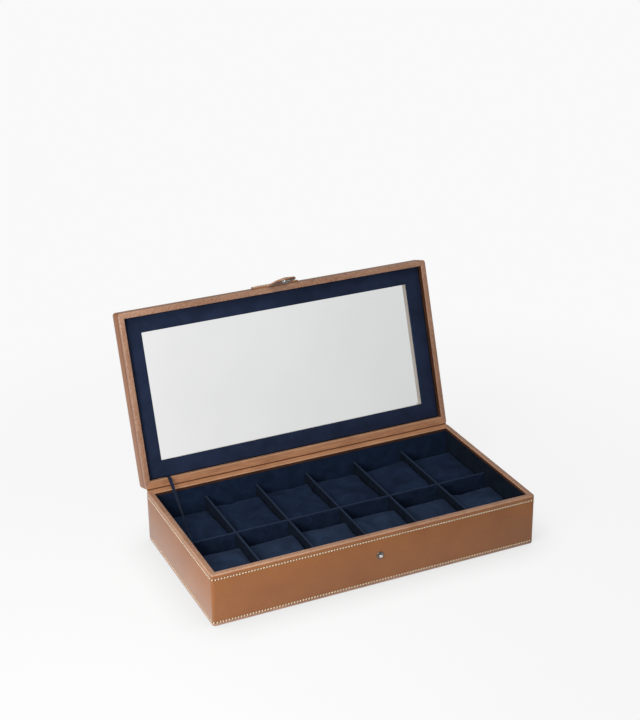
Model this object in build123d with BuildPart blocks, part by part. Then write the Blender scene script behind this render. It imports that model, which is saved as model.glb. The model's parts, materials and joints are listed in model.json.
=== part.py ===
"""Lidded watch box with twelve places, modelled with its lid open as it is shown.

The origin is the middle of the underside. +X runs to the right along the front, +Y to the back
and +Z up. Lengths are millimetres. The lid and the strap are drawn in frames of their own, which
stand at the hinge and at the strap's fold, so each is drawn as if shut and lands open.
"""

import os
from math import cos, radians, sin

from build123d import *

# Overall sizes
box_width = 390.0
box_depth = 203.0
base_height = 62.0
lid_height = 23.5
lid_overhang = 1.0
corner_radius = 3.5
edge_round = 0.7

# Leather, boards and linings
leather = 1.2
rim_leather = 1.0
lining = 1.0
wall_board = 4.3
bottom_board_thick = 4.0
sheet_thick = 1.0
leather_bottom = 0.4
turn_in_depth = 4.0

# The lid's hinge line, and how far the lid stands open
hinge_y = 101.0
hinge_z = 62.4
lid_open_angle = 108.0
rear_rim = 9.0
rim_gap = 0.4

# The lid
lid_rim = 6.8
lid_recess = 7.5
panel_thick = 3.0
panel_border = 19.5
panel_play = 0.1
glass_thick = 3.0
glass_lap = 7.0
layer_gap = 0.05
window_step = 1.8
window_leather = 0.8
window_corner = 4.0

# Dividers and cushions
columns = 6
divider_thick = 3.0
divider_top = 44.0
divider_end_play = 0.2
slot_play = 0.05
cushion_width = 58.0
cushion_depth = 82.0
cushion_top = 37.0
cushion_crown = 3.0
cushion_shoulder = 14.0
cushion_play = 0.3
cushion_front_gap = 1.5

# Snap fastener
stud_z = 35.6
flange_radius = 4.35
flange_thick = 0.8
post_radius = 1.7
post_height = 2.8
head_radius = 2.1
head_height = 1.1
stem_radius = 1.5
stem_play = 0.05
snap_round = 0.5
washer_radius = 4.0
washer_thick = 0.6
washer_play = 0.1
socket_radius = 5.3
socket_thick = 1.8
socket_bore = 2.5
cap_radius = 6.0
cap_thick = 1.6
cap_stem_radius = 3.0

# Closing strap
strap_thick = 2.4
strap_fold_level = 2.0
strap_fold_gap = 0.5
strap_rest_angle = 12.0
anchor_width = 56.0
anchor_height = 15.5
anchor_round = 6.0
tongue_width = 24.0

# Ribbon stay
ribbon_width = 4.0
ribbon_thick = 0.5
ribbon_x = -165.5
ribbon_end_y = -42.0
ribbon_end_z = 54.0
tab_length = 12.0
tab_height = 8.0

# Places in the base, worked out from the sizes above
half_width = box_width / 2
front_y = -box_depth / 2
back_y = box_depth / 2
wall = leather + wall_board + lining
inner_x = half_width - wall
inner_front = front_y + wall
inner_back = hinge_y - rear_rim
board_x = half_width - leather
board_front = front_y + leather
board_back = back_y - leather
board_top = base_height - rim_leather
lined_x = inner_x + lining
lined_front = inner_front - lining
lined_back = inner_back + lining
bottom_top = sheet_thick + bottom_board_thick
floor_z = bottom_top + lining
lining_top = base_height - turn_in_depth

# Places in the lid: Y from the hinge line, minus to the front, and levels above it when shut
lid_front = front_y - lid_overhang - hinge_y
lid_back = back_y - hinge_y
lid_board_front = lid_front + leather
lid_board_back = lid_back - leather
lid_inner_front = lid_front + lid_rim
lid_lined_front = lid_inner_front - lining
lid_lined_back = -rear_rim + lining
rail_level = rim_gap + rim_leather
panel_level = rim_gap + lid_recess
glass_level = panel_level + panel_thick + layer_gap
top_board_level = glass_level + glass_thick + layer_gap
lid_top = rim_gap + lid_height
top_board_thick = lid_top - leather - top_board_level

ROW = Plane.XY
turn = radians(lid_open_angle)
LID = Plane(origin=(0, hinge_y, hinge_z), x_dir=(1, 0, 0), z_dir=(0, sin(turn), cos(turn)))
SECTION = Plane.YZ

os.makedirs("parts", exist_ok=True)


def save(piece, label):
    """Name a finished piece and write it."""
    piece.part.label = label
    export_step(piece.part, f"parts/{label}.step")


def span(x, y, mode=Mode.ADD):
    """A rectangle between two limits in X and two in Y, in the sketch being drawn."""
    with Locations(((x[0] + x[1]) / 2, (y[0] + y[1]) / 2)):
        Rectangle(x[1] - x[0], y[1] - y[0], mode=mode)


def both(x):
    """The limits of something that lies evenly about the middle."""
    return (-x, x)


def outline(y, inset=0.0, mode=Mode.ADD):
    """The rounded outline of box or lid between two limits in Y, drawn in by an inset."""
    width = box_width - 2 * inset
    depth = y[1] - y[0] - 2 * inset
    with Locations((0, (y[0] + y[1]) / 2)):
        RectangleRounded(width, depth, corner_radius - inset, mode=mode)


def slab(label, frame, x, y, z):
    """A plain rectangular board or lining between limits in a frame."""
    with BuildPart() as piece:
        with BuildSketch(frame.offset(z[0])):
            span(x, y)
        extrude(amount=z[1] - z[0])
    save(piece, label)


def rear_rim_area(inner_y, outer_y, inner, outer):
    """The area of a rear rim, which is mitred from the inner corners to the back corners."""
    corners = ((-inner, inner_y), (inner, inner_y), (outer, outer_y), (-outer, outer_y))
    Polygon(*corners, align=None)


def lid_point(y, level):
    """The Y and Z of a point of the open lid, from its place in the lid's own frame."""
    at = LID.from_local_coords(Vector(0, y, level))
    return (at.Y, at.Z)


base_y = (front_y, back_y)
lid_y = (lid_front, lid_back)
behind_board = (board_back, back_y + 1)
behind_lid_board = (lid_board_back, lid_back + 1)
mitre_play = 0.1
mitre_outer = board_x - mitre_play

# Underside sheet and bottom board
with BuildPart() as underside:
    with BuildSketch(ROW):
        outline(base_y, leather + 0.2)
    extrude(amount=sheet_thick)
save(underside, "underside_sheet")

side_y = (lined_front, lined_back)
slab("bottom_board", ROW, both(lined_x), side_y, (sheet_thick, bottom_top))

# Wall boards: front and back run the full width, the side boards stand between them
WALL_OUTSIDE = Plane.XZ.offset(-board_front)
WALL_INSIDE = Plane.XZ.offset(-lined_front)
with BuildPart() as front_board:
    with BuildSketch(ROW.offset(sheet_thick)):
        outline(base_y, leather)
        span(both(half_width), (lined_front, back_y), mode=Mode.SUBTRACT)
    extrude(amount=board_top - sheet_thick)
    with BuildSketch(WALL_OUTSIDE):
        with Locations((0, stud_z)):
            Circle(stem_radius + stem_play)
    extrude(amount=-wall_board, mode=Mode.SUBTRACT)
    with BuildSketch(WALL_INSIDE):
        with Locations((0, stud_z)):
            Circle(washer_radius + washer_play)
    extrude(amount=washer_thick + washer_play, mode=Mode.SUBTRACT)
save(front_board, "front_board")

with BuildPart() as back_board:
    with BuildSketch(ROW.offset(sheet_thick)):
        outline(base_y, leather)
        span(both(half_width), (front_y, lined_back), mode=Mode.SUBTRACT)
    extrude(amount=board_top - sheet_thick)
save(back_board, "back_board")

sides = {"left": (-board_x, -board_x + wall_board), "right": (board_x - wall_board, board_x)}
for side, x in sides.items():
    slab(f"{side}_board", ROW, x, side_y, (sheet_thick, board_top))

# Outer leather of the base: front and sides, over the rim and down inside
inner_y = (inner_front, inner_back)
with BuildPart() as base_leather:
    with BuildSketch(ROW.offset(leather_bottom)):
        outline(base_y)
        outline(base_y, leather, mode=Mode.SUBTRACT)
        span(both(half_width), behind_board, mode=Mode.SUBTRACT)
    extrude(amount=base_height - leather_bottom)
    with BuildSketch(ROW.offset(board_top)):
        outline(base_y)
        span(both(inner_x), inner_y, mode=Mode.SUBTRACT)
        span(both(half_width), behind_board, mode=Mode.SUBTRACT)
    extrude(amount=rim_leather)
    with BuildSketch(ROW.offset(lining_top)):
        span(both(lined_x), side_y)
        span(both(inner_x), inner_y, mode=Mode.SUBTRACT)
    extrude(amount=turn_in_depth)
    rim_front = base_leather.edges().group_by(Axis.Z)[-1].sort_by(Axis.Y)[0]
    fillet(rim_front, edge_round)
    with BuildSketch(ROW.offset(lining_top)):
        rear_rim_area(inner_back, board_back, inner_x, mitre_outer)
    extrude(amount=turn_in_depth + 1, mode=Mode.SUBTRACT)
    with BuildSketch(WALL_OUTSIDE):
        with Locations((0, stud_z)):
            Circle(stem_radius + stem_play)
    extrude(amount=leather, mode=Mode.SUBTRACT)
save(base_leather, "base_leather")

# Linings of the walls and the floor
lining_z = (bottom_top, lining_top)
slab("lining_front", ROW, both(lined_x), (lined_front, inner_front), lining_z)
slab("lining_back", ROW, both(lined_x), (inner_back, lined_back), lining_z)
slab("lining_left", ROW, (-lined_x, -inner_x), inner_y, lining_z)
slab("lining_right", ROW, (inner_x, lined_x), inner_y, lining_z)
slab("lining_floor", ROW, both(inner_x), inner_y, (bottom_top, floor_z))

# Dividers, halved into each other: the cross dividers drop over the long one
pitch = (2 * inner_x + divider_thick) / columns
divider_x = [pitch * (n - columns / 2) for n in range(1, columns)]
half_divider = divider_thick / 2
slot_width = divider_thick + 2 * slot_play
halving_z = (floor_z + divider_top) / 2

with BuildPart() as long_divider:
    with BuildSketch(ROW.offset(floor_z)):
        span(both(inner_x - divider_end_play), both(half_divider))
    extrude(amount=divider_top - floor_z)
    with BuildSketch(ROW.offset(halving_z)):
        with Locations([(x, 0) for x in divider_x]):
            Rectangle(slot_width, divider_thick)
    extrude(amount=divider_top - halving_z, mode=Mode.SUBTRACT)
save(long_divider, "long_divider")

cross_y = (inner_front + divider_end_play, inner_back - divider_end_play)
for number, x in enumerate(divider_x, start=1):
    with BuildPart() as cross_divider:
        with BuildSketch(ROW.offset(floor_z)):
            span((x - half_divider, x + half_divider), cross_y)
        extrude(amount=divider_top - floor_z)
        with BuildSketch(ROW.offset(floor_z)):
            with Locations((x, 0)):
                Rectangle(divider_thick, slot_width)
        extrude(amount=halving_z + slot_play - floor_z, mode=Mode.SUBTRACT)
    save(cross_divider, f"cross_divider_{number}")

# Cushions: a crowned pillow in each place, its section drawn from front to back
rows = {
    "back": (half_divider + inner_back) / 2,
    "front": inner_front + cushion_front_gap + cushion_depth / 2,
}
column_x = [pitch * (n - (columns - 1) / 2) for n in range(columns)]
cushion_low = floor_z + cushion_play
side_top = cushion_top - cushion_crown
for row, middle in rows.items():
    near = middle - cushion_depth / 2
    far = middle + cushion_depth / 2
    for number, x in enumerate(column_x, start=1):
        with BuildPart() as cushion:
            with BuildSketch(SECTION.offset(x - cushion_width / 2)) as section:
                with BuildLine():
                    Polyline((near, side_top), (near, cushion_low), (far, cushion_low), (far, side_top))
                    ThreePointArc((near, side_top), (middle, cushion_top), (far, side_top))
                make_face()
                fillet(section.vertices(), cushion_shoulder)
            extrude(amount=cushion_width)
        save(cushion, f"cushion_{row}_{number}")

# Snap stud through the front wall, clinched over a washer behind the board
STUD = Plane(origin=(0, front_y, stud_z), x_dir=(1, 0, 0), z_dir=(0, -1, 0))
stem_length = leather + wall_board
with BuildPart() as snap_stud:
    with BuildSketch(STUD):
        Circle(flange_radius)
    extrude(amount=flange_thick)
    fillet(snap_stud.edges().group_by(Axis.Y)[0], snap_round)
    with BuildSketch(STUD):
        Circle(post_radius)
    extrude(amount=post_height - head_height)
    with BuildSketch(STUD.offset(post_height - head_height)):
        Circle(head_radius)
    extrude(amount=head_height)
    fillet(snap_stud.edges().group_by(Axis.Y)[0], snap_round)
    with BuildSketch(STUD):
        Circle(stem_radius)
    extrude(amount=-stem_length)
save(snap_stud, "snap_stud")

with BuildPart() as stud_washer:
    with BuildSketch(STUD.offset(-stem_length)):
        Circle(washer_radius)
        Circle(stem_radius + stem_play, mode=Mode.SUBTRACT)
    extrude(amount=washer_thick)
save(stud_washer, "stud_washer")

# Hinge strip: inner leather over both rear rims, round the hinge line and down the inner walls
hinge_line = (hinge_y, hinge_z)
fold_start = -90
fold_sweep = 180 - lid_open_angle
strip_x = mitre_outer - mitre_play
strip_inner = inner_x - mitre_play
with BuildPart() as hinge_strip:
    with BuildSketch(SECTION.offset(-strip_x)):
        with BuildLine():
            inside = CenterArc(hinge_line, rim_gap, fold_start, fold_sweep)
            outside = CenterArc(hinge_line, rail_level, fold_start, fold_sweep)
            Polyline(
                inside @ 0,
                (inner_back, base_height),
                (inner_back, lining_top),
                (lined_back, lining_top),
                (lined_back, board_top),
                outside @ 0,
            )
            Polyline(
                inside @ 1,
                lid_point(-rear_rim, rim_gap),
                lid_point(-rear_rim, panel_level),
                lid_point(lid_lined_back, panel_level),
                lid_point(lid_lined_back, rail_level),
                outside @ 1,
            )
        make_face()
    extrude(amount=2 * strip_x)
    for frame, level, near, far in (
        (ROW, lining_top - 1, inner_back, board_back),
        (LID, rim_gap - 1, -rear_rim, lid_board_back),
    ):
        with BuildSketch(frame.offset(level)):
            for side in (-1, 1):
                Polygon(
                    (side * strip_inner, near - 1),
                    (side * strip_inner, near),
                    (side * strip_x, far),
                    (side * half_width, far),
                    (side * half_width, near - 1),
                    align=None,
                )
        extrude(amount=lid_recess + 2, mode=Mode.SUBTRACT)
save(hinge_strip, "hinge_strip")

# Spine: outer leather down the back of box and lid, with its fold round the hinge line
fold_inner = rail_level + layer_gap
fold_outer = fold_inner + 1.0
web_x = half_width - corner_radius
with BuildPart() as spine:
    with BuildSketch(ROW.offset(leather_bottom)):
        outline(base_y)
        span(both(half_width), (front_y - 1, board_back), mode=Mode.SUBTRACT)
    extrude(amount=hinge_z - fold_inner - leather_bottom)
    with BuildSketch(LID.offset(fold_inner)):
        outline(lid_y)
        span(both(half_width), (lid_front - 1, lid_board_back), mode=Mode.SUBTRACT)
    extrude(amount=lid_top - leather - fold_inner)
    with BuildSketch(SECTION.offset(-web_x)):
        with BuildLine():
            near = CenterArc(hinge_line, fold_inner, fold_start, fold_sweep)
            far = CenterArc(hinge_line, fold_outer, fold_start, fold_sweep)
            Line(near @ 0, far @ 0)
            Line(near @ 1, far @ 1)
        make_face()
    extrude(amount=2 * web_x)
save(spine, "spine_leather")

# Lid rails: front and back run the full width, the side rails stand between them
rails = {"front": (lid_front, lid_lined_front), "back": (lid_lined_back, lid_back)}
for side, y in rails.items():
    with BuildPart() as rail:
        with BuildSketch(LID.offset(rail_level)):
            outline(lid_y, leather)
            span(both(half_width), y, mode=Mode.INTERSECT)
        extrude(amount=top_board_level - rail_level)
    save(rail, f"lid_{side}_rail")

lid_side_y = (lid_lined_front, lid_lined_back)
for side, x in sides.items():
    slab(f"lid_{side}_rail", LID, x, lid_side_y, (rail_level, top_board_level))

# Lid top board, inner panel, pane and the card frame round the pane
window_x = inner_x - panel_border
window_front = lid_inner_front + panel_border
window_back = -rear_rim - panel_border


def window(grow, corner=0.0, mode=Mode.SUBTRACT):
    """The window's rectangle, grown on every side, in the sketch being drawn."""
    width = 2 * (window_x + grow)
    depth = window_back - window_front + 2 * grow
    with Locations((0, (window_front + window_back) / 2)):
        if corner:
            RectangleRounded(width, depth, corner, mode=mode)
        else:
            Rectangle(width, depth, mode=mode)


with BuildPart() as top_board:
    with BuildSketch(LID.offset(top_board_level)):
        outline(lid_y, leather)
        window(window_step + window_leather, window_corner + window_leather)
    extrude(amount=top_board_thick)
save(top_board, "lid_top_board")

panel_x = lined_x - panel_play
panel_y = (lid_lined_front + panel_play, lid_lined_back - panel_play)
with BuildPart() as inner_panel:
    with BuildSketch(LID.offset(panel_level)):
        span(both(panel_x), panel_y)
        window(0)
    extrude(amount=panel_thick)
save(inner_panel, "lid_inner_panel")

with BuildPart() as glass:
    with BuildSketch(LID.offset(glass_level)):
        window(glass_lap, mode=Mode.ADD)
    extrude(amount=glass_thick)
save(glass, "glass_pane")

with BuildPart() as spacer:
    with BuildSketch(LID.offset(glass_level)):
        span(both(panel_x), panel_y)
        window(glass_lap + panel_play)
    extrude(amount=glass_thick)
save(spacer, "glass_spacer")

# Outer leather of the lid: top and sides, into the window, over the rim and up inside
lid_inner_y = (lid_inner_front, -rear_rim)
lid_axis = Axis(LID.origin, LID.z_dir)
with BuildPart() as lid_leather:
    with BuildSketch(LID.offset(rim_gap)):
        outline(lid_y)
        outline(lid_y, leather, mode=Mode.SUBTRACT)
        span(both(half_width), behind_lid_board, mode=Mode.SUBTRACT)
    extrude(amount=lid_height)
    with BuildSketch(LID.offset(lid_top - leather)):
        outline(lid_y)
        window(window_step, window_corner)
    extrude(amount=leather)
    with BuildSketch(LID.offset(top_board_level)):
        window(window_step + window_leather, window_corner + window_leather, mode=Mode.ADD)
        window(window_step, window_corner)
    extrude(amount=top_board_thick)
    with BuildSketch(LID.offset(rim_gap)):
        outline(lid_y)
        span(both(inner_x), lid_inner_y, mode=Mode.SUBTRACT)
        span(both(half_width), behind_lid_board, mode=Mode.SUBTRACT)
    extrude(amount=rim_leather)
    with BuildSketch(LID.offset(rim_gap)):
        span(both(lined_x), lid_side_y)
        span(both(inner_x), lid_inner_y, mode=Mode.SUBTRACT)
    extrude(amount=lid_recess)
    levels = lid_leather.edges().group_by(lid_axis)
    fillet([levels[0].sort_by(Axis.Z)[-1], *levels[-1]], edge_round)
    with BuildSketch(LID):
        rear_rim_area(-rear_rim, lid_board_back, inner_x, mitre_outer)
    extrude(amount=panel_level, mode=Mode.SUBTRACT)
save(lid_leather, "lid_leather")

# Closing strap: its stitched end lies on the lid's front edge and its tongue folds just below
FRONT_EDGE = Plane(
    origin=LID.from_local_coords(Vector(0, lid_front, 0)), x_dir=(1, 0, 0), z_dir=-LID.y_dir
)
anchor_low = strap_fold_level + strap_thick / 2 + strap_fold_gap
with BuildPart() as strap_anchor:
    with BuildSketch(FRONT_EDGE) as patch:
        span(both(anchor_width / 2), (anchor_low, anchor_low + anchor_height))
        fillet(patch.vertices().group_by(Axis.Y)[-1], anchor_round)
    extrude(amount=strap_thick)
save(strap_anchor, "strap_anchor")

rest = radians(strap_rest_angle)
fold_point = FRONT_EDGE.from_local_coords(Vector(0, strap_fold_level, strap_thick / 2))
TONGUE = Plane(
    origin=fold_point,
    x_dir=(1, 0, 0),
    z_dir=FRONT_EDGE.z_dir * cos(rest) + FRONT_EDGE.y_dir * sin(rest),
)
INNER_FACE = TONGUE.offset(-strap_thick / 2)
snap_lever = hinge_z + strap_fold_level - stud_z
half_tongue = tongue_width / 2
with BuildPart() as tongue:
    with BuildSketch(INNER_FACE):
        span(both(half_tongue), (-snap_lever, 0))
        with Locations((0, -snap_lever)):
            Circle(half_tongue)
            Circle(cap_stem_radius, mode=Mode.SUBTRACT)
    extrude(amount=strap_thick)
    with BuildSketch(SECTION.offset(-half_tongue)):
        with Locations((fold_point.Y, fold_point.Z)):
            Circle(strap_thick / 2)
    extrude(amount=tongue_width)
save(tongue, "strap_tongue")

with BuildPart() as snap_socket:
    with BuildSketch(INNER_FACE):
        with Locations((0, -snap_lever)):
            Circle(socket_radius)
            Circle(socket_bore, mode=Mode.SUBTRACT)
    extrude(amount=-socket_thick)
save(snap_socket, "snap_socket")

with BuildPart() as snap_cap:
    with BuildSketch(TONGUE.offset(strap_thick / 2)):
        with Locations((0, -snap_lever)):
            Circle(cap_radius)
    extrude(amount=cap_thick)
    fillet(snap_cap.edges().group_by(Axis(TONGUE.origin, TONGUE.z_dir))[-1], snap_round)
    with BuildSketch(INNER_FACE):
        with Locations((0, -snap_lever)):
            Circle(cap_stem_radius)
            Circle(socket_bore, mode=Mode.SUBTRACT)
    extrude(amount=strap_thick)
save(snap_cap, "snap_cap")

# Ribbon stay: down the lid's rear inner wall, then straight to its tab on the left wall
ribbon_face = -rear_rim - ribbon_thick / 2
ribbon_end_x = -inner_x + ribbon_thick + ribbon_width / 2
ribbon_ends = ((ribbon_x, *lid_point(ribbon_face, rim_gap)), (ribbon_end_x, ribbon_end_y, ribbon_end_z))
with BuildPart() as ribbon:
    for x, y, z in ribbon_ends:
        with BuildSketch(Plane.XZ.offset(-y)):
            with Locations((x, z)):
                Rectangle(ribbon_width, ribbon_thick)
    loft()
    with BuildSketch(LID.offset(rim_gap)):
        with Locations((ribbon_x, ribbon_face)):
            Rectangle(ribbon_width, ribbon_thick)
    extrude(amount=lid_recess - layer_gap)
save(ribbon, "ribbon_stay")

slab(
    "ribbon_tab",
    ROW,
    (-inner_x, -inner_x + ribbon_thick),
    (ribbon_end_y - tab_length / 2, ribbon_end_y + tab_length / 2),
    (ribbon_end_z - tab_height / 2, ribbon_end_z + tab_height / 2),
)
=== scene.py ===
import json
import math
import random

import bmesh
import bpy
from mathutils import Matrix, Vector, noise

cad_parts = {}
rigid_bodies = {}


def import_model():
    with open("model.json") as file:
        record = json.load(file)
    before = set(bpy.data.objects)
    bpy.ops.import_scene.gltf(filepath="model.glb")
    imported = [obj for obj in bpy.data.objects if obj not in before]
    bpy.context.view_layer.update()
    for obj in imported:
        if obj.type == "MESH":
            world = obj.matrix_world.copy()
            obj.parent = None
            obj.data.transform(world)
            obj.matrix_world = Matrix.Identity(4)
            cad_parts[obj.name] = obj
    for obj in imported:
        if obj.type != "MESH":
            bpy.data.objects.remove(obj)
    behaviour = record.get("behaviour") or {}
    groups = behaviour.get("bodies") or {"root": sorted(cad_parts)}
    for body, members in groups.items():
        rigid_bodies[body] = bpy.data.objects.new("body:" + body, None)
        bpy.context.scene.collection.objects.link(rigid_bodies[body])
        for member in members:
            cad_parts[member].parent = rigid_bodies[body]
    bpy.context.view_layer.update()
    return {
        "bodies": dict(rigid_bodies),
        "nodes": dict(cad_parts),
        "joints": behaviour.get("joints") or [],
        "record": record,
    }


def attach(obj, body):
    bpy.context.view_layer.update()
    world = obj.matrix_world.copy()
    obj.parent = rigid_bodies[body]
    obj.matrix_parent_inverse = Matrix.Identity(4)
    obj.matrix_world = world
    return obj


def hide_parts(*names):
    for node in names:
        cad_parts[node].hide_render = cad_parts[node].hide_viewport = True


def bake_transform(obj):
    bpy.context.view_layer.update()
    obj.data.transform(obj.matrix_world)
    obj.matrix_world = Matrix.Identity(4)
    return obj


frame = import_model()
scene = bpy.context.scene
mm = 0.001


# Studio camera: it stands where the photograph was taken from, in front, to the left and above.
# Place, aim and lens were solved from the corners of box and lid. The image is 640 by 720.
camera_place = (-664.9 * mm, -1401.5 * mm, 915.4 * mm)
camera_turn = math.radians(-24.637)
camera_rise = math.radians(23.944)
camera_roll = math.radians(-0.728)
camera_lens = 78.1

aim = (
    Matrix.Rotation(camera_turn, 4, "Z")
    @ Matrix.Rotation(math.pi / 2 - camera_rise, 4, "X")
    @ Matrix.Rotation(camera_roll, 4, "Z")
)
bpy.ops.object.camera_add(location=camera_place, rotation=aim.to_euler())
camera = bpy.context.object
camera.name = "studio_camera"
camera.data.lens = camera_lens
camera.data.sensor_width = 36
camera.data.clip_start = 0.05
scene.camera = camera
scene.view_settings.view_transform = "Standard"


# Studio light: a soft box close by in front and to the left, so the front darkens to the right, a
# larger one high above, and an even white room. They light a colour to about its written value.
def linear(code):
    """The linear colour of an sRGB hex code, as a shader's socket takes it."""
    parts = [int(code[i:i + 2], 16) / 255 for i in (1, 3, 5)]
    return (*[p / 12.92 if p <= 0.04045 else ((p + 0.055) / 1.055) ** 2.4 for p in parts], 1)


def add(tree, kind, inputs={}, **settings):
    """Adds a node with its settings, and sets or links its inputs."""
    made = tree.nodes.new(kind)
    for name, value in settings.items():
        setattr(made, name, value)
    for name, value in inputs.items():
        if isinstance(value, bpy.types.NodeSocket):
            tree.links.new(value, made.inputs[name])
        else:
            made.inputs[name].default_value = value
    return made


def softbox(name, place, target, size, watts):
    """A square soft box that faces a point."""
    turn = (Vector(target) - Vector(place)).to_track_quat("-Z", "Y").to_euler()
    bpy.ops.object.light_add(type="AREA", location=place, rotation=turn)
    lamp = bpy.context.object
    lamp.name = name
    lamp.data.shape = "SQUARE"
    lamp.data.size = size
    lamp.data.energy = watts


room_strength = 0.31
room = bpy.data.worlds.new("white_room")
scene.world = room
room.use_nodes = True
room_tree = room.node_tree
room_tree.nodes.clear()
lit = add(
    room_tree,
    "ShaderNodeBackground",
    {"Color": linear("#F7F7F7"), "Strength": room_strength},
)
backdrop = add(room_tree, "ShaderNodeBackground", {"Color": linear("#F9F9F9")})
looked_at = add(room_tree, "ShaderNodeLightPath").outputs["Is Camera Ray"]
wall = add(
    room_tree,
    "ShaderNodeMixShader",
    {0: looked_at, 1: lit.outputs[0], 2: backdrop.outputs[0]},
)
add(room_tree, "ShaderNodeOutputWorld", {"Surface": wall.outputs[0]})
softbox("softbox_left", (-0.66, -0.47, 0.48), target=(-0.1, 0, 0.08), size=0.35, watts=4.45)
softbox("softbox_top", (-0.6, -0.15, 1.5), target=(0, 0, 0.05), size=0.9, watts=10.5)


# Studio floor: one pale sheet. What the camera sees of it near the box is partly the light that
# falls on it and mostly its own glow, darkened in the corner under the box by a painted contact
# shadow, so its shadows stay as faint as the photograph shows them. Further off it is all its own
# light and runs out evenly.
floor_reach = 12
floor_colour = linear("#F9F9F9")
floor_near, floor_far = 0.3, 0.75
own_light_near = 0.89
painted_contact_shadow_reach, painted_contact_shadow_light = 45 * mm, 0.72
bpy.ops.object.select_all(action="DESELECT")
bpy.ops.mesh.primitive_plane_add(size=2 * floor_reach, location=(0, 0, 0))
floor = bpy.context.object
floor.name = "studio_floor"
paper = bpy.data.materials.new("pale_studio_paper")
paper.use_nodes = True
tree = paper.node_tree
tree.nodes.clear()
seen = add(tree, "ShaderNodeLightPath")
direct = add(
    tree,
    "ShaderNodeMath",
    {0: seen.outputs["Is Camera Ray"], 1: seen.outputs["Is Transmission Ray"]},
    operation="MAXIMUM",
)
ground = add(tree, "ShaderNodeTexCoord").outputs["Object"]
away = add(tree, "ShaderNodeVectorMath", {0: ground}, operation="LENGTH").outputs["Value"]
even = add(
    tree,
    "ShaderNodeMapRange",
    {
        "Value": away,
        "From Min": floor_near,
        "From Max": floor_far,
        "To Min": own_light_near,
        "To Max": 1,
    },
    interpolation_type="SMOOTHSTEP",
)
share = add(
    tree, "ShaderNodeMath", {0: direct.outputs[0], 1: even.outputs[0]}, operation="MULTIPLY"
)
# Painted contact shadow: the floor's own glow is darkened where the box occludes it.
painted_contact_shadow = add(tree, "ShaderNodeAmbientOcclusion", {"Distance": painted_contact_shadow_reach}, samples=12)
glow_under_painted_shadow = add(
    tree,
    "ShaderNodeMapRange",
    {"Value": painted_contact_shadow.outputs["AO"], "To Min": painted_contact_shadow_light, "To Max": 1},
)
matt = add(tree, "ShaderNodeBsdfDiffuse", {"Color": floor_colour})
glow = add(tree, "ShaderNodeEmission", {"Color": floor_colour, "Strength": glow_under_painted_shadow.outputs[0]})
both = add(
    tree,
    "ShaderNodeMixShader",
    {0: share.outputs[0], 1: matt.outputs[0], 2: glow.outputs[0]},
)
add(tree, "ShaderNodeOutputMaterial", {"Surface": both.outputs[0]})
floor.data.materials.append(paper)


# Boards: raw fibreboard walls, bottom and lid frame, all under leather and suede. They show only
# where a cut edge is seen, as pressed wood fibre with darker specks, drawn 1.4 mm wide.
def new_material(name):
    """An empty material and its tree."""
    made = bpy.data.materials.new(name)
    made.use_nodes = True
    made.node_tree.nodes.clear()
    return made, made.node_tree


def dress(nodes, finish):
    """Gives a finish to CAD nodes that stay."""
    for name in nodes:
        for slot in frame["nodes"][name].material_slots:
            slot.material = finish


def speckled(name, dark, light, speck, detail, rough):
    """A matt material with specks of two tones, from their size in millimetres."""
    made, tree = new_material(name)
    where = add(tree, "ShaderNodeTexCoord").outputs["Object"]
    specks = add(
        tree, "ShaderNodeTexNoise", {"Vector": where, "Scale": 1000 / speck, "Detail": detail}
    )
    tone = add(
        tree,
        "ShaderNodeMix",
        {0: specks.outputs["Fac"], 6: linear(dark), 7: linear(light)},
        data_type="RGBA",
    )
    skin = add(
        tree, "ShaderNodeBsdfPrincipled", {"Base Color": tone.outputs[2], "Roughness": rough}
    )
    add(tree, "ShaderNodeOutputMaterial", {"Surface": skin.outputs[0]})
    return made


fibreboard = speckled("raw_fibreboard", "#8F734F", "#BFA078", speck=1.43, detail=4, rough=0.85)
boards = ["bottom_board", "front_board", "back_board", "left_board", "right_board"]
lid_boards = ["lid_front_rail", "lid_back_rail", "lid_left_rail", "lid_right_rail", "lid_top_board"]
dress(boards + lid_boards, fibreboard)


# Card round the pane: dark pressed card, cut to hold the glass. Only its edge can be seen, and
# only through the pane. Its pulp is drawn in specks of 1.1 mm.
card = speckled("pressed_card", "#2A2A2C", "#4A4A4C", speck=1.11, detail=3, rough=0.9)
dress(["glass_spacer"], card)


# Underside: a dark close-woven cloth over card, glued in flat under the box. Its threads are
# 0.5 mm apart, drawn at 1.2 mm so that they show.
def band_scale(pitch):
    """The scale at which the bands of a wave texture lie a pitch apart."""
    return 2 * math.pi / 20 / pitch


base_cloth, tree = new_material("woven_base_cloth")
where = add(tree, "ShaderNodeTexCoord").outputs["Object"]
threads = {"Vector": where, "Scale": band_scale(1.2 * mm), "Distortion": 0.4}
warp = add(tree, "ShaderNodeTexWave", threads, bands_direction="X")
weft = add(tree, "ShaderNodeTexWave", threads, bands_direction="Y")
weave = add(
    tree,
    "ShaderNodeMath",
    {0: warp.outputs["Fac"], 1: weft.outputs["Fac"]},
    operation="MULTIPLY",
)
tone = add(
    tree,
    "ShaderNodeMix",
    {0: weave.outputs[0], 6: linear("#101216"), 7: linear("#23262C")},
    data_type="RGBA",
)
bump = add(
    tree,
    "ShaderNodeBump",
    {"Height": weave.outputs[0], "Strength": 0.4, "Distance": 0.2 * mm},
)
skin = add(
    tree,
    "ShaderNodeBsdfPrincipled",
    {"Base Color": tone.outputs[2], "Roughness": 0.9, "Normal": bump.outputs[0]},
)
add(tree, "ShaderNodeOutputMaterial", {"Surface": skin.outputs[0]})
dress(["underside_sheet"], base_cloth)


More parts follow.
